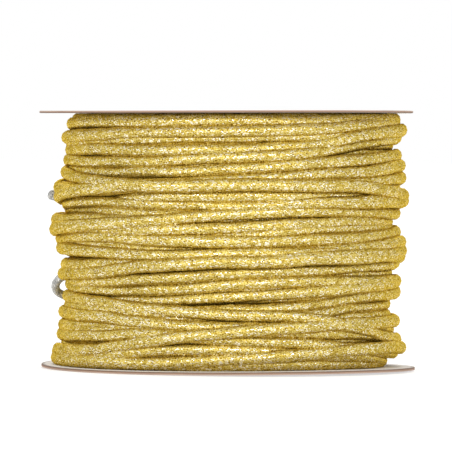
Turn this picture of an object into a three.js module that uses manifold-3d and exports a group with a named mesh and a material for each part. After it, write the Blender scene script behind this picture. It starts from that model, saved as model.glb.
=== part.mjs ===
// Gold crinkle cord wound on a flat spool: two thin card discs with the wound cord between them,
// and a short loose end that shows as a loop and a cut tip on the left side.
// The spool stands on its lower disc. Z is up, the spool's axis leans half a degree from it,
// and the front faces -Y.
import * as THREE from "three";
import { mergeVertices } from "three/addons/utils/BufferGeometryUtils.js";
import Module from "manifold-3d";

const wasm = await Module();
wasm.setup();

// Sizes in millimetres
const CORD_DIAMETER = 3;
const CORD_RADIUS = CORD_DIAMETER / 2;
const DISC_RADIUS = 50;
const LOWER_DISC_THICKNESS = 0.8;
const UPPER_DISC_THICKNESS = 0.65;
const DISC_CLEAR_HEIGHT = 67.7;
const UPPER_DISC_TILT = THREE.MathUtils.degToRad(0.54);
const UPPER_DISC_SHIFT = 1.16;
const AXIS_LEAN = THREE.MathUtils.degToRad(0.57);
const GAP = 0.3;
const END_DIAMETER = 2.4;

// How the turns bed into each other
const BED_WIDTH = 2.2;
const BED_HEIGHT = 2.1;
const PILE_LIMIT = 6;
const INNER_CREST = 1.2;
const TAUT_PASSES = 60;

// How the turns rise and fall behind the spool
const BACK_SHARES = [0.25, 0.5, 0.75];
const WANDER_SLOW = 1.1;
const WANDER_FAST = 0.7;
const SLOW_PHASE = 2.4;
const FAST_PHASE = 1.7;

// Mesh steps
const STEPS_AROUND = 64;
const STEPS_UP = 66;
const DISC_SIDES = 96;
const END_SIDES = 8;
const END_STEPS = 44;
const SAME_PLACE = 1e-4;

// The upper disc lies a little to the left of the lower one, and the origin is midway between them
const LOWER_DISC_X = UPPER_DISC_SHIFT / 2;
const UPPER_DISC_X = -UPPER_DISC_SHIFT / 2;
const UPPER_DISC_UNDERSIDE = LOWER_DISC_THICKNESS + DISC_CLEAR_HEIGHT;
const WINDING_BOTTOM = LOWER_DISC_THICKNESS + GAP;
const WINDING_TOP = UPPER_DISC_UNDERSIDE - GAP;
const STEP_ANGLE = (2 * Math.PI) / STEPS_AROUND;

const GOLD = new THREE.MeshStandardMaterial({ color: 0xcfa93f, roughness: 0.45, metalness: 0.7 });
const SILVER = new THREE.MeshStandardMaterial({ color: 0xb4b3b0, roughness: 0.55, metalness: 0.5 });
const CARD = new THREE.MeshStandardMaterial({ color: 0xb59a8c, roughness: 0.9, metalness: 0 });

// Radius of the inner winding, on which the outer turns lie, by height
const INNER_COLUMNS = ["height", "left", "right"];
const INNER_ROWS = [
  [1, 40.8, 37.2],
  [4, 41.6, 39.6],
  [7, 42.8, 42.6],
  [9, 42.8, 42.4],
  [11, 43.4, 42.4],
  [13, 40.4, 42.2],
  [17, 38.0, 40.2],
  [21, 37.2, 41.4],
  [25, 40.6, 40.8],
  [29, 42.5, 40.8],
  [33, 41.6, 43.4],
  [36, 42.4, 43.2],
  [39, 45.2, 40.6],
  [42, 40.6, 40.6],
  [45, 40.6, 42.4],
  [48, 44.0, 44.2],
  [52, 40.6, 44.9],
  [56, 39.6, 44.4],
  [60, 39.6, 41.0],
  [64, 39.2, 43.4],
  [67, 38.6, 41.0],
];

// Heights of each outer turn where it crosses the front, in the order of winding.
// The columns are angles from the front, and the right side is positive.
const TURN_COLUMNS = [-90, -51, -28, 0, 28, 51, 90];
const TURN_ROWS = [
  [6.8, 5.6, 4.5, 4.5, 4.2, 3.6, 2.5],
  [11.6, 12.3, 11.8, 11.4, 11.2, 10.8, 8.4],
  [14.0, 14.4, 14.2, 14.0, 14.6, 14.9, 15.0],
  [15.9, 15.4, 15.0, 15.1, 15.6, 17.4, 18.1],
  [17.7, 19.0, 19.8, 19.8, 20.8, 22.3, 22.1],
  [20.7, 21.3, 21.8, 22.7, 23.5, 23.6, 23.2],
  [23.6, 24.0, 24.6, 25.5, 26.1, 26.5, 26.3],
  [33.5, 34.0, 32.9, 32.2, 32.7, 33.5, 34.6],
  [35.9, 36.6, 36.2, 36.0, 38.1, 38.4, 37.6],
  [39.6, 40.1, 40.5, 40.8, 41.4, 41.5, 41.1],
  [45.4, 45.2, 46.5, 46.9, 47.1, 46.9, 46.7],
  [48.3, 48.0, 49.2, 50.9, 52.4, 53.4, 55.0],
  [53.3, 52.3, 52.8, 53.7, 55.3, 56.4, 57.7],
  [59.2, 59.4, 59.3, 59.6, 60.0, 60.6, 60.3],
  [60.5, 61.4, 61.5, 62.1, 62.8, 63.0, 63.3],
  [66.5, 66.6, 66.8, 66.9, 67.0, 67.1, 67.2],
  [65.3, 65.9, 66.3, 66.5, 66.6, 66.8, 67.3],
  [61.6, 62.7, 63.3, 63.6, 64.3, 65.6, 66.6],
  [58.4, 58.7, 58.5, 59.1, 60.1, 63.0, 64.5],
  [55.6, 55.4, 55.6, 56.8, 58.2, 60.3, 62.7],
  [45.4, 48.1, 49.4, 49.9, 50.1, 50.7, 51.7],
  [52.4, 50.2, 49.3, 49.7, 49.7, 49.2, 46.9],
  [42.6, 42.4, 41.9, 42.2, 44.6, 45.9, 45.6],
  [43.9, 45.1, 44.6, 44.3, 45.3, 45.4, 45.1],
  [38.0, 37.9, 37.8, 38.3, 40.0, 40.3, 40.0],
  [37.0, 38.9, 40.0, 42.1, 43.0, 43.0, 42.1],
  [34.6, 35.9, 35.2, 34.9, 35.4, 35.9, 37.2],
  [32.0, 31.9, 31.1, 31.8, 31.9, 32.0, 32.3],
  [27.6, 28.3, 28.8, 29.8, 31.1, 31.5, 30.6],
  [23.6, 23.9, 25.1, 26.7, 27.7, 28.1, 29.1],
  [25.1, 26.3, 28.2, 29.6, 30.4, 30.8, 32.1],
  [22.3, 21.6, 21.9, 23.8, 24.6, 24.7, 24.3],
  [19.1, 19.2, 19.1, 20.5, 21.8, 23.1, 23.9],
  [16.7, 16.6, 16.2, 16.7, 18.0, 20.2, 21.0],
  [14.9, 14.6, 13.4, 12.3, 12.6, 12.6, 11.2],
  [9.0, 9.5, 10.5, 9.4, 8.3, 6.8, 5.0],
  [5.0, 5.8, 8.7, 11.3, 12.9, 13.5, 13.5],
  [4.3, 4.0, 6.2, 6.6, 5.4, 4.9, 2.5],
  [2.5, 2.5, 2.5, 2.5, 2.6, 2.5, 2.5],
  [2.5, 3.1, 2.9, 4.2, 5.6, 6.8, 6.4],
  [19.2, 18.3, 16.9, 15.9, 14.9, 12.0, 6.3],
];

// How far each turn stands out at the left and at the right from where it would lie taut
const STAND_OUTS = [
  [-0.9, 0],
  [0, 1.2],
  [0, -0.2],
  [0, 0.25],
  [0, 0],
  [0, 0],
  [0, 0.4],
  [0, 1.3],
  [0, 0],
  [-0.15, 0],
  [0, 0],
  [0, 0],
  [0, 0.7],
  [0, 0.35],
  [0, 0],
  [0.3, 0],
  [0.3, 0.9],
  [0.2, -0.3],
  [-0.4, 0.3],
  [1.45, -1.45],
  [0.85, 0],
  [0.5, 0.7],
  [-0.25, 0.35],
  [-1.15, -0.8],
  [-1.2, -0.4],
  [-0.95, 0.6],
  [-0.95, 0],
  [0.45, 0],
  [-0.15, 0.95],
  [0, -0.45],
  [0.6, 0],
  [0, 0.4],
  [0, -0.6],
  [0.1, 0.45],
  [0.65, -0.9],
  [0, 1.9],
  [0.85, 0.75],
  [0.3, -0.3],
  [0, -0.9],
  [-0.05, 1.9],
  [0.9, -1.3],
];

// Route of the loose end: up from under the turns at the back left, out in a small loop,
// in again behind the turns, and out to its cut tip
const END_ROUTE = [
  [-35.2, 19.5, 13.8],
  [-36.3, 16.4, 15.1],
  [-36.8, 13.3, 16.4],
  [-37.4, 11.0, 17.5],
  [-39.1, 9.3, 18.2],
  [-41.4, 8.7, 18.6],
  [-43.7, 8.2, 19.1],
  [-45.4, 6.9, 20.0],
  [-46.0, 5.0, 21.4],
  [-45.6, 3.2, 22.8],
  [-44.4, 1.9, 24.0],
  [-42.4, 1.3, 24.9],
  [-40.2, 1.3, 25.9],
  [-38.3, 1.7, 27.3],
  [-37.2, 2.3, 29.3],
  [-36.9, 3.0, 32.4],
  [-37.0, 3.8, 36.0],
  [-37.2, 4.4, 39.2],
  [-38.0, 4.9, 41.9],
  [-40.1, 5.3, 43.9],
  [-42.8, 5.6, 44.9],
  [-45.5, 5.8, 45.6],
  [-47.9, 5.9, 46.4],
];

// Value at x of the smooth curve through the knots, which lie in rising order of x
function curveValue(knotX, knotY, x) {
  const last = knotX.length - 1;
  const slope = (i) => {
    const before = Math.max(i - 1, 0);
    const after = Math.min(i + 1, last);
    return (knotY[after] - knotY[before]) / (knotX[after] - knotX[before]);
  };
  const next = knotX.findIndex((knot) => knot > x);
  const i = next < 0 ? last - 1 : Math.max(next - 1, 0);
  const width = knotX[i + 1] - knotX[i];
  const t = THREE.MathUtils.clamp((x - knotX[i]) / width, 0, 1);
  return (
    (2 * t ** 3 - 3 * t ** 2 + 1) * knotY[i] +
    (t ** 3 - 2 * t ** 2 + t) * width * slope(i) +
    (3 * t ** 2 - 2 * t ** 3) * knotY[i + 1] +
    (t ** 3 - t ** 2) * width * slope(i + 1)
  );
}

const innerColumn = (name) => INNER_ROWS.map((row) => row[INNER_COLUMNS.indexOf(name)]);
const INNER_HEIGHTS = innerColumn("height");
const INNER_LEFT = innerColumn("left");
const INNER_RIGHT = innerColumn("right");

// Radius of the inner winding at an angle from the front and a height
function innerRadius(angle, z) {
  const left = curveValue(INNER_HEIGHTS, INNER_LEFT, z);
  const right = curveValue(INNER_HEIGHTS, INNER_RIGHT, z);
  return (left + right) / 2 + ((right - left) / 2) * Math.sin(angle);
}

// Heights of all turns at each step round the spool. The cord starts a turn at the right,
// crosses the front to the left, and rises or falls behind the spool to the start of the next turn.
function turnHeights() {
  const travelled = [];
  const height = [];
  TURN_ROWS.forEach((row, turn) => {
    const start = 2 * Math.PI * turn;
    const fromRight = [...row].reverse();
    TURN_COLUMNS.forEach((angle, column) => {
      travelled.push(start + THREE.MathUtils.degToRad(angle + 90));
      height.push(fromRight[column]);
    });
    const nextRow = TURN_ROWS[Math.min(turn + 1, TURN_ROWS.length - 1)];
    const from = row[0];
    const to = nextRow[nextRow.length - 1];
    for (const share of BACK_SHARES) {
      const slow = WANDER_SLOW * Math.sin(SLOW_PHASE * turn + 1) * Math.sin(Math.PI * share);
      const fast = WANDER_FAST * Math.sin(FAST_PHASE * turn + 2 * Math.PI * share);
      travelled.push(start + Math.PI * (1 + share));
      height.push(from + (to - from) * share + slow + fast);
    }
  });
  const lowest = WINDING_BOTTOM + CORD_RADIUS;
  const highest = WINDING_TOP - CORD_RADIUS;
  return TURN_ROWS.map((row, turn) =>
    Array.from({ length: STEPS_AROUND }, (unused, step) => {
      const z = curveValue(travelled, height, 2 * Math.PI * turn + step * STEP_ANGLE);
      return THREE.MathUtils.clamp(z, lowest, highest);
    }),
  );
}

// Radius of all turns: each lies on the inner winding and on the turns wound before it,
// is pulled straight between what carries it, and beds in the deeper the higher it lies
function layTurns(heights) {
  const laid = [];
  let lastRadius = null;
  heights.forEach((turnZ, turn) => {
    const support = turnZ.map((z, step) => {
      let radius = innerRadius(stepAngle(step), z) + CORD_RADIUS;
      for (let below = 0; below < turn; below += 1) {
        const offset = Math.abs(heights[below][step] - z) / BED_WIDTH;
        if (offset < 1) {
          radius = Math.max(radius, laid[below][step] + BED_HEIGHT * Math.sqrt(1 - offset ** 2));
        }
      }
      return radius;
    });
    let taut = support;
    for (let pass = 0; pass < TAUT_PASSES; pass += 1) {
      taut = taut.map((radius, step) => {
        const before = step > 0 ? taut[step - 1] : (lastRadius ?? radius);
        const after = step < STEPS_AROUND - 1 ? taut[step + 1] : radius;
        return Math.max(support[step], ((before + after) / 2) * Math.cos(STEP_ANGLE));
      });
    }
    laid.push(taut);
    lastRadius = taut[STEPS_AROUND - 1];
  });
  return laid.map((turnRadius, turn) =>
    turnRadius.map((radius, step) => {
      const inner = innerRadius(stepAngle(step), heights[turn][step]);
      const piled = PILE_LIMIT * (1 - Math.exp((inner - radius) / PILE_LIMIT));
      return inner + piled + standOut(turn, step);
    }),
  );
}

// What a turn stands out by at a step, fading from both sides towards the front and the back
function standOut(turn, step) {
  const angle = stepAngle(step);
  const [left, right] = STAND_OUTS[turn];
  const followingRight = STAND_OUTS[Math.min(turn + 1, STAND_OUTS.length - 1)][1];
  const back = angle < -Math.PI ? followingRight : left;
  return (angle > 0 ? right : back) * Math.sin(angle) ** 4;
}

function stepAngle(step) {
  return Math.PI / 2 - step * STEP_ANGLE;
}

// The winding's axis leans a little to the left
function axisX(z) {
  return LOWER_DISC_X - z * Math.tan(AXIS_LEAN);
}

// Radius of the wound surface: the outermost cord at this step and height
function surfaceRadius(heights, radii, step, z) {
  let surface = innerRadius(stepAngle(step), z) + INNER_CREST;
  for (let turn = 0; turn < heights.length; turn += 1) {
    const offset = Math.abs(heights[turn][step] - z);
    if (offset < CORD_RADIUS) {
      surface = Math.max(surface, radii[turn][step] + Math.sqrt(CORD_RADIUS ** 2 - offset ** 2));
    }
  }
  return surface;
}

// The winding as one solid: rings of points round its surface, closed flat at the discs
function windingGeometry() {
  const heights = turnHeights();
  const radii = layTurns(heights);
  const points = [];
  const topAt = (x) => WINDING_TOP + (x - UPPER_DISC_X) * Math.tan(UPPER_DISC_TILT);
  for (let ring = 0; ring <= STEPS_UP; ring += 1) {
    const share = ring / STEPS_UP;
    for (let step = 0; step < STEPS_AROUND; step += 1) {
      const angle = stepAngle(step);
      const level = THREE.MathUtils.lerp(WINDING_BOTTOM, WINDING_TOP, share);
      const radius = surfaceRadius(heights, radii, step, level);
      const x = axisX(level) + radius * Math.sin(angle);
      const y = -radius * Math.cos(angle);
      points.push(x, y, THREE.MathUtils.lerp(WINDING_BOTTOM, topAt(x), share));
    }
  }
  const bottomCentre = points.length / 3;
  points.push(axisX(WINDING_BOTTOM), 0, WINDING_BOTTOM);
  const topCentre = bottomCentre + 1;
  points.push(axisX(WINDING_TOP), 0, topAt(axisX(WINDING_TOP)));
  const faces = [];
  for (let step = 0; step < STEPS_AROUND; step += 1) {
    const next = (step + 1) % STEPS_AROUND;
    for (let ring = 0; ring < STEPS_UP; ring += 1) {
      const low = ring * STEPS_AROUND;
      const high = low + STEPS_AROUND;
      faces.push(low + step, high + step, low + next);
      faces.push(low + next, high + step, high + next);
    }
    const topRing = STEPS_UP * STEPS_AROUND;
    faces.push(bottomCentre, step, next);
    faces.push(topCentre, topRing + next, topRing + step);
  }
  const geometry = new THREE.BufferGeometry();
  geometry.setAttribute("position", new THREE.Float32BufferAttribute(points, 3));
  geometry.setIndex(faces);
  return geometry;
}

// A tube along the loose end's route, with flat ends
function endTube(diameter, extraLength) {
  const route = new THREE.CatmullRomCurve3(END_ROUTE.map((point) => new THREE.Vector3(...point)));
  const samples = route.getSpacedPoints(END_STEPS);
  const startDirection = samples[0].clone().sub(samples[1]).normalize();
  const endDirection = samples[END_STEPS].clone().sub(samples[END_STEPS - 1]).normalize();
  samples[0].addScaledVector(startDirection, extraLength);
  samples[END_STEPS].addScaledVector(endDirection, extraLength);
  const section = new THREE.Shape();
  for (let side = 0; side < END_SIDES; side += 1) {
    const angle = (2 * Math.PI * side) / END_SIDES;
    const corner = [(diameter / 2) * Math.cos(angle), (diameter / 2) * Math.sin(angle)];
    if (side === 0) {
      section.moveTo(...corner);
    } else {
      section.lineTo(...corner);
    }
  }
  section.closePath();
  return new THREE.ExtrudeGeometry(section, {
    steps: END_STEPS,
    bevelEnabled: false,
    extrudePath: new THREE.CatmullRomCurve3(samples),
  });
}

function discGeometry(thickness) {
  const disc = new THREE.CylinderGeometry(DISC_RADIUS, DISC_RADIUS, thickness, DISC_SIDES);
  return disc.rotateX(Math.PI / 2);
}

function toSolid(geometry) {
  const bare = geometry.clone();
  bare.deleteAttribute("normal");
  bare.deleteAttribute("uv");
  const merged = mergeVertices(bare, SAME_PLACE);
  return new wasm.Manifold(
    new wasm.Mesh({
      numProp: 3,
      vertProperties: new Float32Array(merged.attributes.position.array),
      triVerts: new Uint32Array(merged.index.array),
    }),
  );
}

function toGeometry(solid) {
  const mesh = solid.getMesh();
  const geometry = new THREE.BufferGeometry();
  geometry.setAttribute("position", new THREE.BufferAttribute(mesh.vertProperties, 3));
  geometry.setIndex(new THREE.BufferAttribute(mesh.triVerts, 1));
  geometry.computeVertexNormals();
  return geometry;
}

function addPiece(group, name, geometry, material) {
  const mesh = new THREE.Mesh(geometry, material);
  mesh.name = name;
  group.add(mesh);
  return mesh;
}

const spool = new THREE.Group();

const lowerDisc = addPiece(spool, "flange_bottom", discGeometry(LOWER_DISC_THICKNESS), CARD);
lowerDisc.position.set(LOWER_DISC_X, 0, LOWER_DISC_THICKNESS / 2);

const upperDisc = addPiece(spool, "flange_top", discGeometry(UPPER_DISC_THICKNESS), CARD);
upperDisc.position.set(UPPER_DISC_X, 0, UPPER_DISC_UNDERSIDE + UPPER_DISC_THICKNESS / 2);
upperDisc.rotation.y = -UPPER_DISC_TILT;

const wound = toSolid(windingGeometry());
const channel = toSolid(endTube(END_DIAMETER + 2 * GAP, GAP));
addPiece(spool, "winding", toGeometry(wound.subtract(channel)), GOLD);

addPiece(spool, "loose_end", endTube(END_DIAMETER, 0), SILVER);

export default spool;
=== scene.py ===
"""Gold crinkle cord wound between two card discs, with a short silver-grey loose end.

The winding is made turn by turn: a table gives the height of each turn where it crosses the front,
and each turn is laid on the turns wound before it. Lengths are in millimetres, and meshes are
brought to metres when they are made. The loose end's route, the camera and the lights are in
metres. Angles round the spool count from the front, and the right side is positive.
"""

import math

import bpy
import numpy as np
from mathutils import Matrix, Vector


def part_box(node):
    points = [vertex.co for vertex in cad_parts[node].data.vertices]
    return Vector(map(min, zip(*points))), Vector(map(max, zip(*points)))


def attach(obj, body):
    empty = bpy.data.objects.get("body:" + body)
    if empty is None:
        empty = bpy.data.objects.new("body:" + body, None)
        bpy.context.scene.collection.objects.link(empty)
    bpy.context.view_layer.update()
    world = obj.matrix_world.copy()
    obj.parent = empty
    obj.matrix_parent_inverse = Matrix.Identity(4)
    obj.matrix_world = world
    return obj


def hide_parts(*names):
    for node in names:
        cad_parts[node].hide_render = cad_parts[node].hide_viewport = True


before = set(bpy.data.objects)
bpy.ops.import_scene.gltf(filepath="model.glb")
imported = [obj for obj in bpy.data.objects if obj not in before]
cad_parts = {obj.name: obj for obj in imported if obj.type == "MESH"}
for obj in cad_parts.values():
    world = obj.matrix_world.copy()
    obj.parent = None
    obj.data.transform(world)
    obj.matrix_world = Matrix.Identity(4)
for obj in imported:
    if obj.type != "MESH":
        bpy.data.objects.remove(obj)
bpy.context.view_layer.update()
MM = 0.001

# Sizes and places of the spool, most of them taken from the parts in model.glb
LOWER_DISC = [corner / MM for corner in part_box("flange_bottom")]
UPPER_DISC = [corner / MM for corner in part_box("flange_top")]
DISC_RADIUS = LOWER_DISC[1].y
LOWER_X = (LOWER_DISC[0].x + LOWER_DISC[1].x) / 2
UPPER_X = (UPPER_DISC[0].x + UPPER_DISC[1].x) / 2
UPPER_Z = (UPPER_DISC[0].z + UPPER_DISC[1].z) / 2
LOWER_THICKNESS = LOWER_DISC[1].z - LOWER_DISC[0].z
UPPER_THICKNESS = 0.65
UPPER_TILT = math.asin((UPPER_DISC[1].z - UPPER_DISC[0].z - UPPER_THICKNESS) / (2 * DISC_RADIUS))
AXIS_LEAN = math.tan(math.radians(0.57))

# The card discs: how far they are twisted out of flat, the rings of their faces as shares of the
# radius, their softly crushed edge, and the cut's colour on the rim of each face: a brown stain on
# the outer faces, and painted shade in dark brown on the inner faces
LOWER_TWIST = 0.30
UPPER_TWIST = 0.08
DISC_SEGMENTS = 288
DISC_FACE_RINGS = (0.85, 0.6, 0.3)
EDGE_SOFTNESS = 0.16
EDGE_STAIN_AND_SHADE_REACH = 1.2
EDGE_STAIN_AND_SHADE = 0.7

# The cord: how much wider its section is along the spool's axis than outwards, and how it beds in
# on the turns under it
CORD_RADIUS = 1.5
CORD_SPREAD = 1.13
BED_WIDTH = 2.2
BED_HEIGHT = 2.1
PILE_LIMIT = 6.0
DISC_GAP = 0.05

# The loose end. Its last rings, up to the cut tip, are so many times as wide as the rest.
END_DIAMETER = 2.4
END_SIDES = 14
END_SAMPLES = 400
FRAYED_GROWTH = (1.0, 1.04, 1.08, 1.12, 1.16, 1.2, 1.22, 1.22, 1.18, 1.06, 0.8)

# The turns' way round the spool
STEPS_PER_TURN = 120
STEP_ANGLE = 2 * math.pi / STEPS_PER_TURN
TAUT_PASSES = 120
BACK_SHARES = (0.25, 0.5, 0.75)
WANDER_SLOW = 1.1
WANDER_FAST = 0.7
SLOW_PHASE = 2.4
FAST_PHASE = 1.7

# The finer line of the wound cord: smoothed, with a small random wander, and with both ends
# tucked into the winding
FINER_STEPS = 8
RADIUS_SMOOTHING = 2
HEIGHT_WANDER = 0.1
HEIGHT_WANDER_REACH = 24
RADIUS_WANDER = 0.06
RADIUS_WANDER_REACH = 30
TUCK_STEPS = 14
FIRST_DIVE = 3.0
LAST_DIVE = 4.5

# The ribs of the cord
RIB_STEP = 0.33
RIB_DEPTH = 0.07
RIB_CREST = 0.05
RIB_LEAN = 0.3
DEPTH_SPREAD = 0.35
THICKNESS_SPREAD = 0.02
THICKNESS_REACH = 12
CORD_SIDES = 10
TURNS_PER_PIECE = 6

# The inner turns, and the body of the winding under them
INNER_PITCH = 2.9
INNER_MARGIN = 0.5
INNER_STAND_OUT = 0.1
INNER_SAMPLES_PER_TURN = 180
INNER_STEP = 1.2
INNER_SIDES = 8
BODY_SEGMENTS = 96
BODY_LEVELS = 60
BODY_DEPTH = 0.9

# The map that a tube is laid out on: margins at the ends and sides of its rows, and the places
# and the size of its end caps in the last row
MAP_END_MARGIN = 0.004
MAP_SIDE_MARGIN = 0.04
MAP_CAP_PLACES = (0.2, 0.6)
MAP_CAP_SIZE = 0.4

# The skin of the cord: film threads at two slants, made of small facets. The relief is in metres.
RISING_LEAN = 0.55
RISING_PITCH = 0.62
FALLING_LEAN = -0.7
FALLING_PITCH = 0.74
FALLING_HEIGHT = 0.9
DRIFT_SCALE = 0.9
DRIFT_REACH = 1.5
FACETS_PER_MM = (2.2, 4.4, 4.4)
THREAD_SHADE = 0.45
FACET_SHADE = 0.55
TINT_SCALE = 0.22
TINT = ((0.35, (0.86, 0.85, 0.82)), (0.65, (1.0, 1.0, 1.0)))
FILM_ROUGHNESS = 0.42
FILM_ROUGHNESS_SPREAD = 0.15
SPARKLE_SMOOTHNESS = 0.32
THREAD_RELIEF_STRENGTH = 0.8
THREAD_RELIEF = 0.00004
GOLD = {
    "shades": (
        (0.15, (0.15, 0.075, 0.008)),
        (0.36, (0.43, 0.28, 0.033)),
        (0.60, (0.63, 0.485, 0.088)),
        (0.85, (0.76, 0.64, 0.24)),
    ),
    "sparkle": (0.86, 0.80, 0.60),
    "sparkle_share": 0.17,
    "edge_tint": (0.95, 0.70, 0.15),
    "metallic": 1.0,
    "glitter": 0.11,
}
SILVER = {
    "shades": (
        (0.08, (0.11, 0.11, 0.11)),
        (0.35, (0.30, 0.30, 0.295)),
        (0.70, (0.46, 0.46, 0.455)),
        (0.95, (0.70, 0.70, 0.69)),
    ),
    "sparkle": (0.75, 0.75, 0.73),
    "sparkle_share": 0.15,
    "edge_tint": (1, 1, 1),
    "metallic": 0.4,
    "glitter": 0.3,
}

# The card: scales of its textures, and their colours. The relief is in metres.
FIBRE_SCALE = 1400.0
CLOUD_SCALE = 70.0
LAYER_SCALES = (90.0, 90.0, 5000.0)
CARD_FACE = ((0.3, (0.78, 0.75, 0.74)), (0.7, (0.86, 0.835, 0.825)))
# The cut's colour from the inner face to the outer one: brown board, whose darkest brown at the inner
# face is painted shade
CARD_CUT_AND_SHADE = ((0.1, (0.16, 0.095, 0.06)), (0.5, (0.36, 0.22, 0.15)), (0.9, (0.58, 0.46, 0.39)))
CARD_GRAIN = ((0.3, (0.75, 0.73, 0.72)), (0.7, (1.0, 1.0, 1.0)))
CARD_CLOUDS = ((0.3, (0.94, 0.93, 0.92)), (0.7, (1.0, 1.0, 1.0)))
CARD_ROUGHNESS = 0.8
FIBRE_RELIEF_STRENGTH = 0.3
FIBRE_RELIEF = 0.0001

# The camera
CAMERA_PLACE = (0.0, -1.650, 0.0668)
CAMERA_AIM = (-0.00036, 0.0, 0.0383)
CAMERA_ROLL = 0.572
FRAME_WIDTH = 0.1210
SENSOR_WIDTH = 36.0
CLIP_END = 30

# Lights: angle and power of each strip in front, then elevations, distances, sizes and powers
LIGHTS_AIM = (0, 0, 0.035)
FRONT_LIGHTS = ((-60, 0.1), (-30, 0.9), (0, 1.0), (30, 0.9), (60, 0.1))
FRONT_ELEVATION = 16
FRONT_DISTANCE = 0.9
FRONT_SIZE = (0.5, 0.008)
BACK_ELEVATION = 35
BACK_DISTANCE = 1.1
BACK_SIZE = (0.8, 0.5)
BACK_POWER = 1.5
TABLE_PLACE = (0, -0.36, 0.33)
TABLE_CONE = 75
TABLE_SOFT_EDGE = 0.8
TABLE_RADIUS = 0.05
TABLE_POWER = 0.6

# The floor and the white surround
FLOOR_HALF_WIDTH = 8000.0
FLOOR_SHADE = 0.8
FLOOR_GLOW = 0.3
WORLD_LIGHT = 1.04

rng = np.random.default_rng(7)

# Radius of the inner winding at the left and at the right, by height
INNER_COLUMNS = ("height", "left", "right")
INNER_ROWS = (
    (1, 40.8, 37.2),
    (4, 41.6, 39.6),
    (7, 42.8, 42.6),
    (9, 42.8, 42.4),
    (11, 43.4, 42.4),
    (13, 40.4, 42.2),
    (17, 38.0, 40.2),
    (21, 37.2, 41.4),
    (25, 40.6, 40.8),
    (29, 42.5, 40.8),
    (33, 41.6, 43.4),
    (36, 42.4, 43.2),
    (39, 45.2, 40.6),
    (42, 40.6, 40.6),
    (45, 40.6, 42.4),
    (48, 44.0, 44.2),
    (52, 40.6, 44.9),
    (56, 39.6, 44.4),
    (60, 39.6, 41.0),
    (64, 39.2, 43.4),
    (67, 38.6, 41.0),
)

# Heights of each outer turn where it crosses the front, in the order of winding. TURN_COLUMNS
# gives the angles of the seven places in degrees.
TURN_COLUMNS = (-90, -51, -28, 0, 28, 51, 90)
TURN_ROWS = (
    (6.8, 5.6, 4.5, 4.5, 4.2, 3.6, 2.5),
    (11.6, 12.3, 11.8, 11.4, 11.2, 10.8, 8.4),
    (14.0, 14.4, 14.2, 14.0, 14.6, 14.9, 15.0),
    (15.9, 15.4, 15.0, 15.1, 15.6, 17.4, 18.1),
    (17.7, 19.0, 19.8, 19.8, 20.8, 22.3, 22.1),
    (20.7, 21.3, 21.8, 22.7, 23.5, 23.6, 23.2),
    (23.6, 24.0, 24.6, 25.5, 26.1, 26.5, 26.3),
    (33.5, 34.0, 32.9, 32.2, 32.7, 33.5, 34.6),
    (35.9, 36.6, 36.2, 36.0, 38.1, 38.4, 37.6),
    (39.6, 40.1, 40.5, 40.8, 41.4, 41.5, 41.1),
    (45.4, 45.2, 46.5, 46.9, 47.1, 46.9, 46.7),
    (48.3, 48.0, 49.2, 50.9, 52.4, 53.4, 55.0),
    (53.3, 52.3, 52.8, 53.7, 55.3, 56.4, 57.7),
    (59.2, 59.4, 59.3, 59.6, 60.0, 60.6, 60.3),
    (60.5, 61.4, 61.5, 62.1, 62.8, 63.0, 63.3),
    (66.5, 66.6, 66.8, 66.9, 67.0, 67.1, 67.2),
    (65.3, 65.9, 66.3, 66.5, 66.6, 66.8, 67.3),
    (61.6, 62.7, 63.3, 63.6, 64.3, 65.6, 66.6),
    (58.4, 58.7, 58.5, 59.1, 60.1, 63.0, 64.5),
    (55.6, 55.4, 55.6, 56.8, 58.2, 60.3, 62.7),
    (45.4, 48.1, 49.4, 49.9, 50.1, 50.7, 51.7),
    (52.4, 50.2, 49.3, 49.7, 49.7, 49.2, 46.9),
    (42.6, 42.4, 41.9, 42.2, 44.6, 45.9, 45.6),
    (43.9, 45.1, 44.6, 44.3, 45.3, 45.4, 45.1),
    (38.0, 37.9, 37.8, 38.3, 40.0, 40.3, 40.0),
    (37.0, 38.9, 40.0, 42.1, 43.0, 43.0, 42.1),
    (34.6, 35.9, 35.2, 34.9, 35.4, 35.9, 37.2),
    (32.0, 31.9, 31.1, 31.8, 31.9, 32.0, 32.3),
    (27.6, 28.3, 28.8, 29.8, 31.1, 31.5, 30.6),
    (23.6, 23.9, 25.1, 26.7, 27.7, 28.1, 29.1),
    (25.1, 26.3, 28.2, 29.6, 30.4, 30.8, 32.1),
    (22.3, 21.6, 21.9, 23.8, 24.6, 24.7, 24.3),
    (19.1, 19.2, 19.1, 20.5, 21.8, 23.1, 23.9),
    (16.7, 16.6, 16.2, 16.7, 18.0, 20.2, 21.0),
    (14.9, 14.6, 13.4, 12.3, 12.6, 12.6, 11.2),
    (9.0, 9.5, 10.5, 9.4, 8.3, 6.8, 5.0),
    (5.0, 5.8, 8.7, 11.3, 12.9, 13.5, 13.5),
    (4.3, 4.0, 6.2, 6.6, 5.4, 4.9, 2.5),
    (2.5, 2.5, 2.5, 2.5, 2.6, 2.5, 2.5),
    (2.5, 3.1, 2.9, 4.2, 5.6, 6.8, 6.4),
    (19.2, 18.3, 16.9, 15.9, 14.9, 12.0, 6.3),
)

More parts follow.
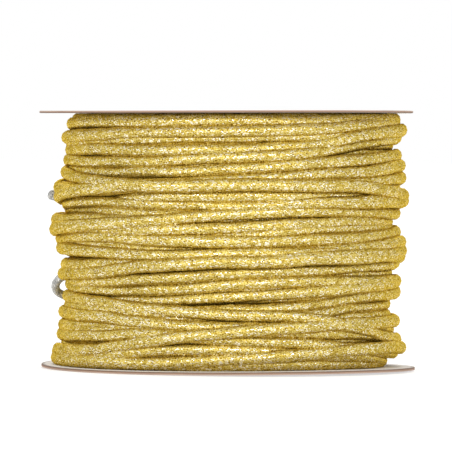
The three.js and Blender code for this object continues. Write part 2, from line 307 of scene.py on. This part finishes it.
# How far each outer turn stands out at the left and at the right from where it would lie taut
STAND_OUTS = (
    (-0.9, 0.0),
    (0.0, 1.2),
    (0.0, -0.2),
    (0.0, 0.25),
    (0.0, 0.0),
    (0.0, 0.0),
    (0.0, 0.4),
    (0.0, 1.3),
    (0.0, 0.0),
    (-0.15, 0.0),
    (0.0, 0.0),
    (0.0, 0.0),
    (0.0, 0.7),
    (0.0, 0.35),
    (0.0, 0.0),
    (0.3, 0.0),
    (0.3, 0.9),
    (0.2, -0.3),
    (-0.4, 0.3),
    (1.45, -1.45),
    (0.85, 0.0),
    (0.5, 0.7),
    (-0.25, 0.35),
    (-1.15, -0.8),
    (-1.2, -0.4),
    (-0.95, 0.6),
    (-0.95, 0.0),
    (0.45, 0.0),
    (-0.15, 0.95),
    (0.0, -0.45),
    (0.6, 0.0),
    (0.0, 0.4),
    (0.0, -0.6),
    (0.1, 0.45),
    (0.65, -0.9),
    (0.0, 1.9),
    (0.85, 0.75),
    (0.3, -0.3),
    (0.0, -0.9),
    (-0.05, 1.9),
    (0.9, -1.3),
)

# Route of the loose end in metres: up from under the turns at the back left, out in a small
# loop, in again behind the turns, and out to its cut tip
END_ROUTE = (
    (-0.0352, 0.0195, 0.0138),
    (-0.0363, 0.0164, 0.0151),
    (-0.0368, 0.0133, 0.0164),
    (-0.0374, 0.0110, 0.0175),
    (-0.0391, 0.0093, 0.0182),
    (-0.0414, 0.0087, 0.0186),
    (-0.0437, 0.0082, 0.0191),
    (-0.0454, 0.0069, 0.0200),
    (-0.0460, 0.0050, 0.0214),
    (-0.0456, 0.0032, 0.0228),
    (-0.0444, 0.0019, 0.0240),
    (-0.0424, 0.0013, 0.0249),
    (-0.0402, 0.0013, 0.0259),
    (-0.0383, 0.0017, 0.0273),
    (-0.0372, 0.0023, 0.0293),
    (-0.0369, 0.0030, 0.0324),
    (-0.0370, 0.0038, 0.0360),
    (-0.0372, 0.0044, 0.0392),
    (-0.0380, 0.0049, 0.0419),
    (-0.0401, 0.0053, 0.0439),
    (-0.0428, 0.0056, 0.0449),
    (-0.0455, 0.0058, 0.0456),
    (-0.0479, 0.0059, 0.0464),
)


def curve_values(knot_x, knot_y, x):
    """Values at x of the smooth curve through the knots, which lie in rising order of x."""
    slope = np.empty_like(knot_y)
    slope[1:-1] = (knot_y[2:] - knot_y[:-2]) / (knot_x[2:] - knot_x[:-2])
    slope[0] = (knot_y[1] - knot_y[0]) / (knot_x[1] - knot_x[0])
    slope[-1] = (knot_y[-1] - knot_y[-2]) / (knot_x[-1] - knot_x[-2])
    i = np.clip(np.searchsorted(knot_x, x, side="right") - 1, 0, len(knot_x) - 2)
    width = knot_x[i + 1] - knot_x[i]
    t = np.clip((x - knot_x[i]) / width, 0, 1)
    return (
        (2 * t**3 - 3 * t**2 + 1) * knot_y[i]
        + (t**3 - 2 * t**2 + t) * width * slope[i]
        + (3 * t**2 - 2 * t**3) * knot_y[i + 1]
        + (t**3 - t**2) * width * slope[i + 1]
    )


def smooth(values, reach):
    """The values averaged over reach neighbours each side."""
    width = 2 * reach + 1
    return np.convolve(np.pad(values, reach, mode="edge"), np.ones(width) / width, mode="valid")


def uneven(count, reach):
    """Random values about 0 with a spread of 1, which change over reach steps."""
    values = smooth(rng.normal(0, 1, count), reach)
    return values / values.std()


def lower_disc_lift(x, y):
    """How far the lower disc lies above a flat one resting on the floor."""
    twist = 2 * (x - LOWER_X) * y / DISC_RADIUS**2
    return LOWER_TWIST * (1 - twist)


def upper_disc_lift(x, y):
    """How far the upper disc lies above a level one at its middle height."""
    twist = 2 * (x - UPPER_X) * y / DISC_RADIUS**2
    return (x - UPPER_X) * math.tan(UPPER_TILT) - UPPER_TWIST * (twist + y / DISC_RADIUS)


def inner_radius(angle, z):
    """Radius of the inner winding at an angle and a height."""
    table = np.array(INNER_ROWS, float)
    height = table[:, INNER_COLUMNS.index("height")]
    left = curve_values(height, table[:, INNER_COLUMNS.index("left")], z)
    right = curve_values(height, table[:, INNER_COLUMNS.index("right")], z)
    return (left + right) / 2 + (right - left) / 2 * np.sin(angle)


def turn_heights():
    """Heights of all turns, one row a turn. The cord starts a turn at the right, crosses the front to
    the left, and rises or falls behind the spool to the start of the next turn."""
    travelled, height = [], []
    for turn, row in enumerate(TURN_ROWS):
        start = 2 * math.pi * turn
        for angle, z in zip(TURN_COLUMNS, reversed(row)):
            travelled.append(start + math.radians(angle + 90))
            height.append(z)
        following = TURN_ROWS[min(turn + 1, len(TURN_ROWS) - 1)][-1]
        for share in BACK_SHARES:
            slow = WANDER_SLOW * math.sin(SLOW_PHASE * turn + 1) * math.sin(math.pi * share)
            fast = WANDER_FAST * math.sin(FAST_PHASE * turn + 2 * math.pi * share)
            travelled.append(start + math.pi * (1 + share))
            height.append(row[0] + (following - row[0]) * share + slow + fast)
    at = np.arange(len(TURN_ROWS) * STEPS_PER_TURN) * STEP_ANGLE
    z = curve_values(np.array(travelled), np.array(height), at)
    return z.reshape(len(TURN_ROWS), STEPS_PER_TURN)


def lay_turns(heights):
    """Radius of all turns: each lies on the inner winding and on the turns wound before it, is
    pulled straight between what carries it, and beds in the deeper the higher it lies."""
    angle = math.pi / 2 - np.arange(STEPS_PER_TURN) * STEP_ANGLE
    laid = np.zeros_like(heights)
    last = None
    for turn, z in enumerate(heights):
        support = inner_radius(angle, z) + CORD_RADIUS
        if turn:
            offset = np.abs(heights[:turn] - z) / BED_WIDTH
            rise = BED_HEIGHT * np.sqrt(np.clip(1 - offset**2, 0, None))
            carried = np.where(offset < 1, laid[:turn] + rise, 0)
            support = np.maximum(support, carried.max(axis=0))
        taut = support.copy()
        for _ in range(TAUT_PASSES):
            before = np.concatenate(([taut[0] if last is None else last], taut[:-1]))
            after = np.concatenate((taut[1:], taut[-1:]))
            taut = np.maximum(support, (before + after) / 2 * math.cos(STEP_ANGLE))
        laid[turn] = taut
        last = taut[-1]
    inner = inner_radius(np.broadcast_to(angle, heights.shape), heights)
    return inner + PILE_LIMIT * (1 - np.exp((inner - laid) / PILE_LIMIT)) + stand_outs(angle)


def stand_outs(angle):
    """What the turns stand out by at these angles, one row a turn."""
    left, right = np.array(STAND_OUTS).T[:, :, None]
    following = np.concatenate((right[1:], right[-1:]))
    back = np.where(angle < -math.pi, following, left)
    return np.where(angle > 0, right, back) * np.sin(angle) ** 4


def round_spool(angle, radius, z):
    """Points at these places round the winding's axis, which leans a little."""
    x = LOWER_X - z * AXIS_LEAN + radius * np.sin(angle)
    y = -radius * np.cos(angle)
    return np.stack(np.broadcast_arrays(x, y, z), axis=-1)


def between_discs(points, radius):
    """The points of a cord's line, kept clear of both discs."""
    x, y = points[..., 0], points[..., 1]
    low = LOWER_THICKNESS + lower_disc_lift(x, y) + radius + DISC_GAP
    high = UPPER_Z - UPPER_THICKNESS / 2 + upper_disc_lift(x, y) - radius - DISC_GAP
    points[..., 2] = np.clip(points[..., 2], low, high)
    return points


def even_steps(points, step):
    """Points a step apart along the line through points."""
    length = np.concatenate(([0], np.cumsum(np.linalg.norm(np.diff(points, axis=0), axis=1))))
    at = np.linspace(0, length[-1], int(round(length[-1] / step)) + 1)
    return np.stack([np.interp(at, length, column) for column in points.T], axis=1)


def wound_line():
    """The cord's line from the first outer turn to the last, one row a turn."""
    heights = turn_heights()
    radii = lay_turns(heights)
    coarse = np.arange(heights.size, dtype=float)
    fine = np.arange(heights.size * FINER_STEPS) / FINER_STEPS
    z = curve_values(coarse, heights.ravel(), fine)
    z = z + HEIGHT_WANDER * uneven(len(fine), HEIGHT_WANDER_REACH)
    r = curve_values(coarse, smooth(radii.ravel(), RADIUS_SMOOTHING), fine)
    r = r + RADIUS_WANDER * uneven(len(fine), RADIUS_WANDER_REACH)
    tuck = TUCK_STEPS * FINER_STEPS
    dive = 0.5 - 0.5 * np.cos(np.linspace(0, math.pi, tuck))
    r[-tuck:] -= LAST_DIVE * dive
    r[:tuck] -= FIRST_DIVE * dive[::-1]
    line = round_spool(math.pi / 2 - fine * STEP_ANGLE, r, z)
    return between_discs(line, CORD_RADIUS * CORD_SPREAD).reshape(len(TURN_ROWS), -1, 3)


def mesh_from(name, points, faces):
    """A mesh object from points in millimetres and arrays of faces. All faces in an array have the
    same number of corners."""
    corners = np.concatenate([group.ravel() for group in faces]).astype(np.int32)
    sizes = np.concatenate([np.full(len(group), group.shape[1]) for group in faces]).astype(np.int32)
    mesh = bpy.data.meshes.new(name)
    mesh.vertices.add(len(points))
    mesh.vertices.foreach_set("co", (np.asarray(points) * MM).astype(np.float32).ravel())
    mesh.loops.add(len(corners))
    mesh.loops.foreach_set("vertex_index", corners)
    mesh.polygons.add(len(sizes))
    mesh.polygons.foreach_set("loop_start", (np.cumsum(sizes) - sizes).astype(np.int32))
    mesh.polygons.foreach_set("loop_total", sizes)
    mesh.update(calc_edges=True)
    mesh.shade_smooth()
    piece = bpy.data.objects.new(name, mesh)
    bpy.context.scene.collection.objects.link(piece)
    return piece


def add_vectors(piece, name, vectors):
    """Keeps one vector for each point of the mesh, for its material."""
    attribute = piece.data.attributes.new(name, "FLOAT_VECTOR", "POINT")
    attribute.data.foreach_set("vector", np.asarray(vectors, np.float32).ravel())


def capped_grid(rings, sides):
    """Faces of a closed form of rings of points and two end points, which come last."""
    ring = np.arange(sides)
    ahead = (ring + 1) % sides
    low = np.arange(rings - 1)[:, None] * sides
    quads = np.stack([low + ring, low + ahead, low + sides + ahead, low + sides + ring], axis=-1)
    first, last = rings * sides, rings * sides + 1
    top = (rings - 1) * sides
    start_cap = np.stack([np.full(sides, first), ahead, ring], axis=1)
    end_cap = np.stack([np.full(sides, last), top + ring, top + ahead], axis=1)
    return [quads.reshape(-1, 4), start_cap, end_cap]


def strip_map(piece, rings, sides, girth_share):
    """A map that lays a long tube out in rows of equal length, with its end caps in a row of their
    own. girth_share is the tube's girth over its length."""
    rows = max(1, round(math.sqrt(1 / girth_share)) - 1)
    per_row = math.ceil((rings - 1) / rows)
    row_height = 1 / (rows + 1)
    ring = np.repeat(np.arange(rings - 1), sides)
    side = np.tile(np.arange(sides), rings - 1)
    row = ring // per_row
    corner_ring = (ring % per_row)[:, None] + np.array([0, 0, 1, 1])
    corner_side = side[:, None] + np.array([0, 1, 1, 0])
    u = MAP_END_MARGIN + (1 - 2 * MAP_END_MARGIN) * corner_ring / per_row
    in_row = MAP_SIDE_MARGIN + (1 - 2 * MAP_SIDE_MARGIN) * corner_side / sides
    v = (row[:, None] + in_row) * row_height
    quads = np.stack([u, v], axis=-1).reshape(-1, 2)
    around = np.arange(sides) * 2 * math.pi / sides
    circle = np.stack([np.cos(around), np.sin(around)], axis=1)
    cap_rows = []
    for place in MAP_CAP_PLACES:
        middle = np.array([place, (rows + 0.5) * row_height])
        rim = middle + MAP_CAP_SIZE * row_height * circle
        corners = [np.tile(middle, (sides, 1)), np.roll(rim, -1, 0), rim]
        cap_rows.append(np.stack(corners, axis=1).reshape(-1, 2))
    layer = piece.data.uv_layers.new(name="OFBake")
    layer.data.foreach_set("uv", np.concatenate([quads, *cap_rows]).astype(np.float32).ravel())


def cord_piece(name, line, radius, sides, lean=0.0, spread=1.0):
    """A closed tube round a line. radius is one number or one for each point. Each ring leans along
    the tube, as the cord's ribs do, and is spread times as wide along the spool's axis as outwards.
    The attribute strand keeps each point's place along and across the cord, which the material's
    threads follow."""
    tangent = np.gradient(line, axis=0)
    tangent /= np.linalg.norm(tangent, axis=1, keepdims=True)
    outward = line * (1, 1, 0)
    outward -= (outward * tangent).sum(1, keepdims=True) * tangent
    outward /= np.linalg.norm(outward, axis=1, keepdims=True)
    upward = np.cross(tangent, outward)
    around = np.arange(sides) * 2 * math.pi / sides
    radius = np.broadcast_to(radius, len(line))[:, None, None]
    out_part = radius * np.cos(around)[None, :, None]
    up_part = spread * radius * np.sin(around)[None, :, None]
    skin = line[:, None] + out_part * outward[:, None] + up_part * upward[:, None]
    skin = skin + lean * up_part * tangent[:, None]
    length = np.concatenate(([0], np.cumsum(np.linalg.norm(np.diff(line, axis=0), axis=1))))
    along = np.broadcast_to(length[:, None, None], out_part.shape)
    strand = np.concatenate([along, up_part, out_part], axis=2).reshape(-1, 3)
    ends = [[length[0], 0, 0], [length[-1], 0, 0]]
    points = np.concatenate([skin.reshape(-1, 3), line[:1], line[-1:]])
    piece = mesh_from(name, points, capped_grid(len(line), sides))
    add_vectors(piece, "strand", np.concatenate([strand, ends]))
    girth = 2 * math.pi * float(radius.mean())
    strip_map(piece, len(line), sides, girth / length[-1])
    return piece


def ribbed(count, radius):
    """Radius of each ring: every second ring lies deeper, and depth and thickness vary a little."""
    depth = RIB_DEPTH * (1 + DEPTH_SPREAD * uneven(count, 1))
    crest = radius * (1 + THICKNESS_SPREAD * uneven(count, THICKNESS_REACH)) + RIB_CREST
    return crest - depth * (np.arange(count) % 2)


def node(tree, kind, settings=None, inputs=None):
    """A new shader node. inputs holds values or output sockets by input name or number."""
    made = tree.nodes.new(kind)
    for key, value in (settings or {}).items():
        setattr(made, key, value)
    for key, value in (inputs or {}).items():
        socket = made.inputs[key]
        if isinstance(value, bpy.types.NodeSocket):
            tree.links.new(value, socket)
        else:
            socket.default_value = value
    return made


def maths(tree, operation, a, b=0.0, c=0.0):
    """The result of a math node."""
    return node(tree, "ShaderNodeMath", {"operation": operation}, {0: a, 1: b, 2: c}).outputs[0]


def vector_maths(tree, operation, a, b=(0.0, 0.0, 0.0)):
    """The vector that a vector math node gives."""
    return node(tree, "ShaderNodeVectorMath", {"operation": operation}, {0: a, 1: b}).outputs[0]


def noise(tree, place, scale, detail):
    """The value of a noise texture."""
    inputs = {"Vector": place, "Scale": scale, "Detail": detail}
    return node(tree, "ShaderNodeTexNoise", inputs=inputs).outputs[0]


def bumped(tree, height, strength, distance):
    """The facing that a relief of this height gives."""
    inputs = {"Height": height, "Strength": strength, "Distance": distance}
    return node(tree, "ShaderNodeBump", inputs=inputs).outputs[0]


def ramp(tree, value, stops):
    """A colour ramp: stops are (place, (red, green, blue))."""
    made = node(tree, "ShaderNodeValToRGB", inputs={0: value})
    elements = made.color_ramp.elements
    while len(elements) < len(stops):
        elements.new(0.5)
    for element, (place, colour) in zip(elements, stops):
        element.position = place
        element.color = (*colour, 1)
    return made.outputs[0]


def blend_colours(tree, share, a, b, blend="MIX"):
    """Two colours blended: sockets 6, 7 and output 2 are those for colours."""
    settings = {"data_type": "RGBA", "blend_type": blend}
    return node(tree, "ShaderNodeMix", settings, {0: share, 6: a, 7: b}).outputs[2]


def new_material(name):
    """An empty material with its node tree and its shader."""
    material = bpy.data.materials.new(name)
    material.use_nodes = True
    tree = material.node_tree
    tree.nodes.clear()
    shader = tree.nodes.new("ShaderNodeBsdfPrincipled")
    node(tree, "ShaderNodeOutputMaterial", inputs={0: shader.outputs[0]})
    return material, tree, shader


def cord_material(name, shades, sparkle, sparkle_share, edge_tint, metallic, glitter):
    """Metallic film threads braided over a core. Threads cross at two slants, and each small facet of
    film has its own shade and its own tilt, so that some facets catch the lights. A share of the
    facets sparkles: these are paler and smoother."""
    material, tree, shader = new_material(name)
    strand = node(tree, "ShaderNodeAttribute", {"attribute_name": "strand"}).outputs["Vector"]
    axes = node(tree, "ShaderNodeSeparateXYZ", inputs={0: strand})
    along, across = axes.outputs[0], axes.outputs[1]
    shift = maths(tree, "MULTIPLY", noise(tree, strand, DRIFT_SCALE, 2.0), DRIFT_REACH)

    def threads(lean, pitch):
        """Height of threads that lie a pitch apart, from 0 to 1."""
        slanted = maths(tree, "MULTIPLY_ADD", across, lean, along)
        turned = maths(tree, "MULTIPLY", maths(tree, "ADD", slanted, shift), 2 * math.pi / pitch)
        return maths(tree, "MULTIPLY_ADD", maths(tree, "SINE", turned), 0.5, 0.5)

    rising = threads(RISING_LEAN, RISING_PITCH)
    falling = threads(FALLING_LEAN, FALLING_PITCH)
    braid = maths(tree, "MAXIMUM", rising, maths(tree, "MULTIPLY", falling, FALLING_HEIGHT))

    stretched = vector_maths(tree, "MULTIPLY", strand, FACETS_PER_MM)
    facet = node(tree, "ShaderNodeTexVoronoi", inputs={"Vector": stretched, "Scale": 1.0})
    facet_values = node(tree, "ShaderNodeSeparateColor", inputs={0: facet.outputs["Color"]})
    facet_shade, facet_gloss, facet_chance = facet_values.outputs[:3]
    shade = maths(tree, "MULTIPLY", facet_shade, FACET_SHADE)
    shade = maths(tree, "MULTIPLY_ADD", braid, THREAD_SHADE, shade)
    tint = ramp(tree, noise(tree, strand, TINT_SCALE, 2.0), TINT)
    colour = blend_colours(tree, 1.0, ramp(tree, shade, shades), tint, "MULTIPLY")
    bright = maths(tree, "GREATER_THAN", facet_chance, 1 - sparkle_share)
    colour = blend_colours(tree, bright, colour, (*sparkle, 1))
    tree.links.new(colour, shader.inputs["Base Color"])
    shader.inputs["Metallic"].default_value = metallic
    shader.inputs["Specular Tint"].default_value = (*edge_tint, 1)
    rough = maths(tree, "MULTIPLY_ADD", facet_gloss, FILM_ROUGHNESS_SPREAD, FILM_ROUGHNESS)
    rough = maths(tree, "MULTIPLY_ADD", bright, -SPARKLE_SMOOTHNESS, rough)
    tree.links.new(rough, shader.inputs["Roughness"])

    relief = bumped(tree, braid, THREAD_RELIEF_STRENGTH, THREAD_RELIEF)
    off_centre = vector_maths(tree, "SUBTRACT", facet.outputs["Color"], (0.5, 0.5, 0.5))
    tilt = vector_maths(tree, "MULTIPLY", off_centre, (glitter, glitter, glitter))
    facing = vector_maths(tree, "NORMALIZE", vector_maths(tree, "ADD", relief, tilt))
    tree.links.new(facing, shader.inputs["Normal"])
    return material


def card_material():
    """Plain paperboard: off-white faces with fine fibres, and a brown cut edge that is darker towards
    the inner face, where its darkest brown is painted shade."""
    material, tree, shader = new_material("paperboard")
    place = node(tree, "ShaderNodeAttribute", {"attribute_name": "card"}).outputs["Vector"]
    axes = node(tree, "ShaderNodeSeparateXYZ", inputs={0: place})
    depth, edge = axes.outputs[0], axes.outputs[1]
    ground = node(tree, "ShaderNodeTexCoord").outputs["Object"]
    fibres = noise(tree, ground, FIBRE_SCALE, 4.0)
    clouds = noise(tree, ground, CLOUD_SCALE, 3.0)
    layers = noise(tree, vector_maths(tree, "MULTIPLY", ground, LAYER_SCALES), 1.0, 2.0)
    grain = ramp(tree, layers, CARD_GRAIN)
    # The cut's brown with its layers; its darkest brown at the inner face is painted shade
    cut_and_shade = blend_colours(tree, 1.0, ramp(tree, depth, CARD_CUT_AND_SHADE), grain, "MULTIPLY")
    colour = blend_colours(tree, edge, ramp(tree, fibres, CARD_FACE), cut_and_shade)
    colour = blend_colours(tree, 1.0, colour, ramp(tree, clouds, CARD_CLOUDS), "MULTIPLY")
    tree.links.new(colour, shader.inputs["Base Color"])
    shader.inputs["Roughness"].default_value = CARD_ROUGHNESS
    relief = bumped(tree, fibres, FIBRE_RELIEF_STRENGTH, FIBRE_RELIEF)
    tree.links.new(relief, shader.inputs["Normal"])
    return material


def disc_piece(name, middle_x, middle_z, thickness, lift, outer_side):
    """A thin round card with softly crushed edges. outer_side is 1 if its outer face is the upper
    one. The attribute card keeps how near a point is to the outer face, and whether it is on the
    cut edge."""
    half = thickness / 2
    soft = EDGE_SOFTNESS
    # The last value of a ring is how much of the cut's colour it takes. On the rim of the inner face
    # this is painted shade in dark brown; on the rim of the outer face it is a brown stain.
    above = [
        (DISC_RADIUS, half - 1.2 * soft, 1),
        (DISC_RADIUS - 0.3 * soft, half - 0.4 * soft, 1),
        (DISC_RADIUS - 2.0 * soft, half, EDGE_STAIN_AND_SHADE),
        (DISC_RADIUS - EDGE_STAIN_AND_SHADE_REACH, half, 0),
    ]
    above += [(share * DISC_RADIUS, half, 0) for share in DISC_FACE_RINGS]
    below = [(radius, -z, edge) for radius, z, edge in reversed(above)]
    profile = [*below, (DISC_RADIUS - 0.1 * soft, 0.0, 1), *above]
    around = np.arange(DISC_SEGMENTS) * 2 * math.pi / DISC_SEGMENTS
    rings, card = [], []
    for radius, z, edge in profile:
        x = middle_x + radius * np.cos(around)
        y = radius * np.sin(around)
        rings.append(np.stack([x, y, middle_z + z + lift(x, y)], axis=1))
        card.append(np.tile([0.5 + outer_side * z / thickness, edge, 0], (DISC_SEGMENTS, 1)))
    centre_z = middle_z + float(lift(np.array(middle_x), np.array(0.0)))
    ends = [[middle_x, 0, centre_z - half], [middle_x, 0, centre_z + half]]
    faces = capped_grid(len(profile), DISC_SEGMENTS)
    piece = mesh_from(name, np.concatenate([*rings, ends]), faces)
    add_vectors(piece, "card", np.concatenate([*card, [[0.5, 0, 0], [0.5, 0, 0]]]))
    return piece


def inner_turns_piece():
    """The inner winding as evenly laid turns, which show only in gaps between the outer ones."""
    low = LOWER_THICKNESS + CORD_RADIUS + INNER_MARGIN
    high = UPPER_Z - UPPER_THICKNESS / 2 - CORD_RADIUS - INNER_MARGIN
    turns = (high - low) / INNER_PITCH
    at = np.linspace(0, turns, int(turns * INNER_SAMPLES_PER_TURN))
    angle = at * 2 * math.pi
    z = low + at * INNER_PITCH
    line = round_spool(angle, inner_radius(angle, z) + INNER_STAND_OUT, z)
    line = even_steps(between_discs(line, CORD_RADIUS), INNER_STEP)
    return cord_piece("inner_turns", line, CORD_RADIUS, INNER_SIDES)


def inner_body_piece():
    """The body of the winding under its turns."""
    low, high = LOWER_THICKNESS, UPPER_Z - UPPER_THICKNESS / 2
    angle = math.pi / 2 - np.arange(BODY_SEGMENTS) * 2 * math.pi / BODY_SEGMENTS
    rings = []
    for z in np.linspace(low, high, BODY_LEVELS):
        ring = round_spool(angle, inner_radius(angle, z) - BODY_DEPTH, z)
        rings.append(between_discs(ring, -DISC_GAP))
    ends = between_discs(np.array([[LOWER_X, 0, low - 1], [LOWER_X, 0, high + 1]]), -DISC_GAP)
    faces = capped_grid(BODY_LEVELS, BODY_SEGMENTS)
    return mesh_from("inner_body", np.concatenate([*rings, ends]), faces)


def give(piece, material, slot, *nodes):
    """Gives a piece its material, puts it under the root body and hides the parts of model.glb it
    stands for.
    """
    piece.data.materials.append(material)
    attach(piece, "root")
    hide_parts(*nodes)


def add_camera():
    """The camera far in front, a little under the upper disc's height, and turned slightly on its
    axis."""
    place, aim = Vector(CAMERA_PLACE), Vector(CAMERA_AIM)
    data = bpy.data.cameras.new("camera")
    data.sensor_width = SENSOR_WIDTH
    data.lens = SENSOR_WIDTH * -place.y / FRAME_WIDTH
    data.clip_end = CLIP_END
    camera = bpy.data.objects.new("camera", data)
    bpy.context.scene.collection.objects.link(camera)
    facing = (aim - place).to_track_quat("-Z", "Y").to_matrix().to_4x4()
    roll = Matrix.Rotation(math.radians(CAMERA_ROLL), 4, "Z")
    camera.matrix_world = Matrix.Translation(place) @ facing @ roll
    bpy.context.scene.camera = camera


def add_light(name, azimuth, elevation, distance, size, power):
    """A soft rectangular light round the spool, aimed at its middle."""
    turn, rise = math.radians(azimuth), math.radians(elevation)
    level = math.cos(rise)
    away = Vector((math.sin(turn) * level, -math.cos(turn) * level, math.sin(rise)))
    data = bpy.data.lights.new(name, "AREA")
    data.shape = "RECTANGLE"
    data.size, data.size_y = size
    data.energy = power
    light = bpy.data.objects.new(name, data)
    bpy.context.scene.collection.objects.link(light)
    light.location = Vector(LIGHTS_AIM) + distance * away
    light.rotation_euler = (-away).to_track_quat("-Z", "Y").to_euler()


def add_table_light():
    """A spot on the floor in front of the spool, which the undersides of the cord reflect."""
    data = bpy.data.lights.new("table", "SPOT")
    data.energy = TABLE_POWER
    data.spot_size = math.radians(TABLE_CONE)
    data.spot_blend = TABLE_SOFT_EDGE
    data.shadow_soft_size = TABLE_RADIUS
    light = bpy.data.objects.new("table", data)
    bpy.context.scene.collection.objects.link(light)
    light.location = TABLE_PLACE


def add_floor():
    """A plain white floor that glows a little."""
    half = FLOOR_HALF_WIDTH
    corners = np.array([(-half, -half, 0), (half, -half, 0), (half, half, 0), (-half, half, 0)])
    floor = mesh_from("floor", corners, [np.array([[0, 1, 2, 3]])])
    material, tree, shader = new_material("floor_white")
    shader.inputs["Base Color"].default_value = (FLOOR_SHADE, FLOOR_SHADE, FLOOR_SHADE, 1)
    shader.inputs["Roughness"].default_value = 1.0
    shader.inputs["Emission Color"].default_value = (1, 1, 1, 1)
    shader.inputs["Emission Strength"].default_value = FLOOR_GLOW
    floor.data.materials.append(material)


def add_surround():
    """A white surround. The camera sees it plain white, and its light is a little stronger."""
    world = bpy.data.worlds.new("studio")
    bpy.context.scene.world = world
    world.use_nodes = True
    tree = world.node_tree
    tree.nodes.clear()
    white = (1, 1, 1, 1)
    seen = node(tree, "ShaderNodeBackground", inputs={0: white, 1: 1.0}).outputs[0]
    lighting = node(tree, "ShaderNodeBackground", inputs={0: white, 1: WORLD_LIGHT}).outputs[0]
    from_camera = tree.nodes.new("ShaderNodeLightPath").outputs[0]
    both = node(tree, "ShaderNodeMixShader", inputs={0: from_camera, 1: lighting, 2: seen})
    node(tree, "ShaderNodeOutputWorld", inputs={0: both.outputs[0]})


def add_studio():
    """The floor, the surround, strips of light in front and at the sides, a soft light behind and
    the light on the floor."""
    add_floor()
    add_surround()
    for number, (azimuth, power) in enumerate(FRONT_LIGHTS):
        add_light(f"front_{number}", azimuth, FRONT_ELEVATION, FRONT_DISTANCE, FRONT_SIZE, power)
    add_light("back", 180, BACK_ELEVATION, BACK_DISTANCE, BACK_SIZE, BACK_POWER)
    add_table_light()
    scene = bpy.context.scene
    scene.view_settings.view_transform = "Standard"
    scene.view_settings.look = "None"


add_camera()

gold = cord_material("gold_thread", **GOLD)
silver = cord_material("silver_thread", **SILVER)
card = card_material()

end_knots = np.array(END_ROUTE) / MM
knot_at = np.concatenate(([0], np.cumsum(np.linalg.norm(np.diff(end_knots, axis=0), axis=1))))
end_at = np.linspace(0, knot_at[-1], END_SAMPLES)
end_line = np.stack([curve_values(knot_at, column, end_at) for column in end_knots.T], axis=1)
end_line = even_steps(end_line, RIB_STEP)
end_radius = ribbed(len(end_line), END_DIAMETER / 2) - RIB_CREST
end_radius[-len(FRAYED_GROWTH) :] *= FRAYED_GROWTH
loose_end = cord_piece("loose_end_cord", end_line, end_radius, END_SIDES, RIB_LEAN)
give(loose_end, silver, "cord_silver", "loose_end")

turns = wound_line()
for number, start in enumerate(range(0, len(turns), TURNS_PER_PIECE), start=1):
    stretch = turns[start : start + TURNS_PER_PIECE].reshape(-1, 3)
    if start + TURNS_PER_PIECE < len(turns):
        stretch = np.concatenate([stretch, turns[start + TURNS_PER_PIECE, :1]])
    stretch = even_steps(stretch, RIB_STEP)
    radius = ribbed(len(stretch), CORD_RADIUS)
    piece = cord_piece(
        f"outer_turns_{number}", stretch, radius, CORD_SIDES, RIB_LEAN, CORD_SPREAD
    )
    give(piece, gold, "cord_gold", "winding")

give(inner_turns_piece(), gold, "cord_gold", "winding")
give(inner_body_piece(), gold, "cord_gold", "winding")
lower_disc = disc_piece(
    "lower_disc", LOWER_X, LOWER_THICKNESS / 2, LOWER_THICKNESS, lower_disc_lift, -1
)
give(lower_disc, card, "card", "flange_bottom")
upper_disc = disc_piece("upper_disc", UPPER_X, UPPER_Z, UPPER_THICKNESS, upper_disc_lift, 1)
give(upper_disc, card, "card", "flange_top")

add_studio()
